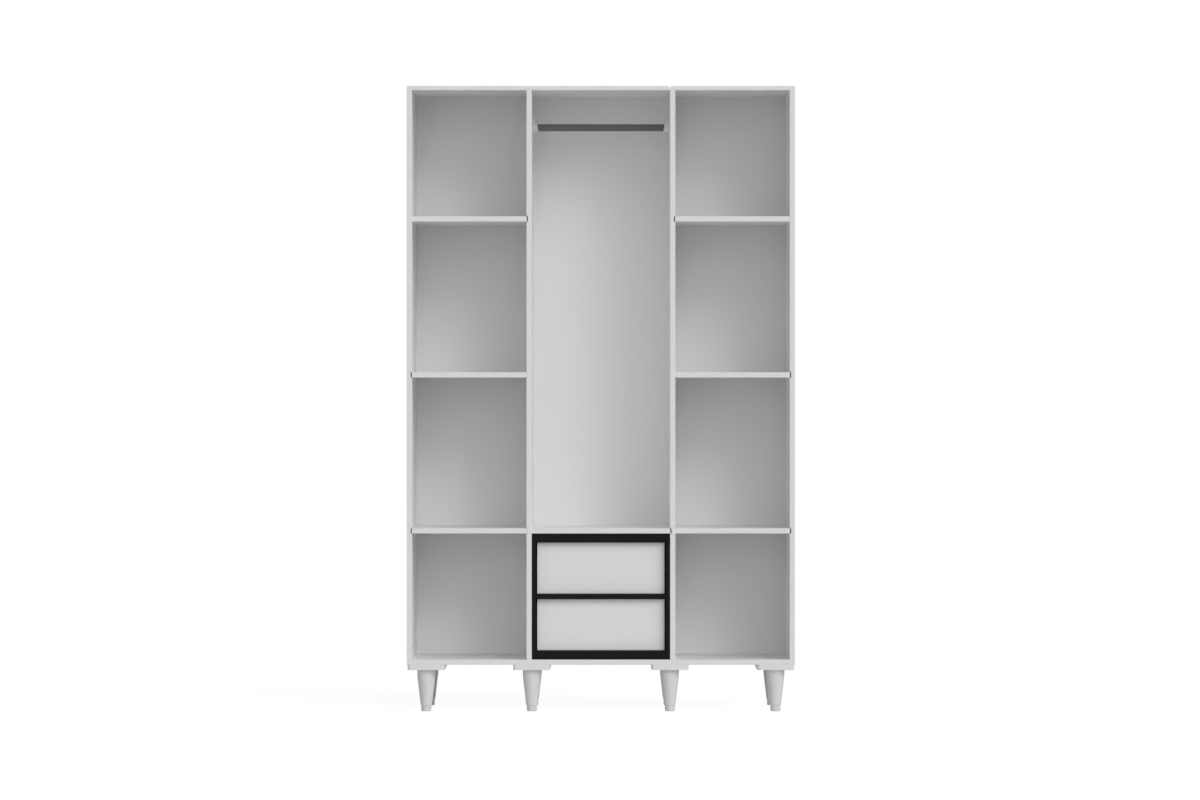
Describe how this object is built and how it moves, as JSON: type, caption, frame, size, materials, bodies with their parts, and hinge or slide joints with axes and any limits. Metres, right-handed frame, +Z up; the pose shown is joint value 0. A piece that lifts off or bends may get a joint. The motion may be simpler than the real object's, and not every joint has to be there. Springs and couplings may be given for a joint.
{
  "type": "wardrobe",
  "caption": "Open wardrobe of three bays with shelves at both sides, a garment rail over inset drawers in a dark surround, and turned tapered legs.",
  "frame": {"origin": "on the floor, under the middle of the wardrobe's width and depth", "axes": "+X to the right seen from the front, +Y to the back, +Z up; the open front faces -Y"},
  "size_m": [1.1, 0.47, 1.773],
  "materials": {
    "white_board": "white melamine, satin",
    "white_lacquer": "white lacquer, satin",
    "white_sheet": "hardboard, painted white on the inner side",
    "black_board": "black melamine, satin",
    "grey_steel": "powder coated, matt",
    "black_steel": "electrocoated, satin",
    "zinced_steel": "zinc plated",
    "white_plastic": "moulded, matt",
    "grey_plastic": "moulded, matt"
  },
  "bodies": {
    "carcass": {"left_side_panel": "white_board", "left_partition": "white_board", "right_partition": "white_board", "right_side_panel": "white_board", "bottom_panel": "white_board", "wide_top_board": "white_board", "narrow_top_board": "white_board", "drawer_bay_shelf": "white_board", "left_lower_shelf": "white_board", "left_middle_shelf": "white_board", "left_upper_shelf": "white_board", "right_lower_shelf": "white_board", "right_middle_shelf": "white_board", "right_upper_shelf": "white_board", "wide_back_sheet": "white_sheet", "narrow_back_sheet": "white_sheet", "garment_rail": "grey_steel", "left_rail_socket": "white_plastic", "right_rail_socket": "white_plastic", "outer_left_foot_board": "white_board", "outer_left_front_leg": "white_lacquer", "outer_left_rear_leg": "white_lacquer", "inner_left_foot_board": "white_board", "inner_left_front_leg": "white_lacquer", "inner_left_rear_leg": "white_lacquer", "inner_right_foot_board": "white_board", "inner_right_front_leg": "white_lacquer", "inner_right_rear_leg": "white_lacquer", "outer_right_foot_board": "white_board", "outer_right_front_leg": "white_lacquer", "outer_right_rear_leg": "white_lacquer", "surround_left_cheek": "black_board", "surround_right_cheek": "black_board", "surround_top_rail": "black_board", "surround_middle_rail": "black_board", "surround_bottom_rail": "black_board", "upper_left_cheek_rail": "black_steel", "upper_right_cheek_rail": "black_steel", "lower_left_cheek_rail": "black_steel", "lower_right_cheek_rail": "black_steel"},
    "upper_drawer": {"upper_drawer_front": "white_board", "upper_drawer_left_side": "white_board", "upper_drawer_right_side": "white_board", "upper_drawer_back": "white_board", "upper_drawer_bottom": "white_sheet", "upper_left_drawer_rail": "black_steel", "upper_right_drawer_rail": "black_steel"},
    "upper_left_cage": {"upper_left_ball_cage": "black_steel"},
    "upper_right_cage": {"upper_right_ball_cage": "black_steel"},
    "upper_plunger": {"upper_latch_plunger": "grey_plastic"},
    "lower_drawer": {"lower_drawer_front": "white_board", "lower_drawer_left_side": "white_board", "lower_drawer_right_side": "white_board", "lower_drawer_back": "white_board", "lower_drawer_bottom": "white_sheet", "lower_left_drawer_rail": "black_steel", "lower_right_drawer_rail": "black_steel"},
    "lower_left_cage": {"lower_left_ball_cage": "black_steel"},
    "lower_right_cage": {"lower_right_ball_cage": "black_steel"},
    "lower_plunger": {"lower_latch_plunger": "grey_plastic"}
  },
  "joints": [
    {"name": "upper_drawer_slide", "type": "slide", "parent": "carcass", "child": "upper_drawer", "axis": [0, -1, 0], "range_m": [0, 0.244]},
    {"name": "upper_left_cage_roll", "type": "slide", "parent": "carcass", "child": "upper_left_cage", "axis": [0, -1, 0], "range_m": [0, 0.122]},
    {"name": "upper_right_cage_roll", "type": "slide", "parent": "carcass", "child": "upper_right_cage", "axis": [0, -1, 0], "range_m": [0, 0.122]},
    {"name": "upper_plunger_push", "type": "slide", "parent": "carcass", "child": "upper_plunger", "axis": [0, -1, 0], "range_m": [0, 0.0305]},
    {"name": "lower_drawer_slide", "type": "slide", "parent": "carcass", "child": "lower_drawer", "axis": [0, -1, 0], "range_m": [0, 0.244]},
    {"name": "lower_left_cage_roll", "type": "slide", "parent": "carcass", "child": "lower_left_cage", "axis": [0, -1, 0], "range_m": [0, 0.122]},
    {"name": "lower_right_cage_roll", "type": "slide", "parent": "carcass", "child": "lower_right_cage", "axis": [0, -1, 0], "range_m": [0, 0.122]},
    {"name": "lower_plunger_push", "type": "slide", "parent": "carcass", "child": "lower_plunger", "axis": [0, -1, 0], "range_m": [0, 0.0305]}
  ],
  "couplings": [
    {"joint": "upper_left_cage_roll", "follows": "upper_drawer_slide", "ratio": 0.5},
    {"joint": "upper_right_cage_roll", "follows": "upper_drawer_slide", "ratio": 0.5},
    {"joint": "upper_plunger_push", "follows": "upper_drawer_slide", "ratio": 0.125},
    {"joint": "lower_left_cage_roll", "follows": "lower_drawer_slide", "ratio": 0.5},
    {"joint": "lower_right_cage_roll", "follows": "lower_drawer_slide", "ratio": 0.5},
    {"joint": "lower_plunger_push", "follows": "lower_drawer_slide", "ratio": 0.125}
  ]
}
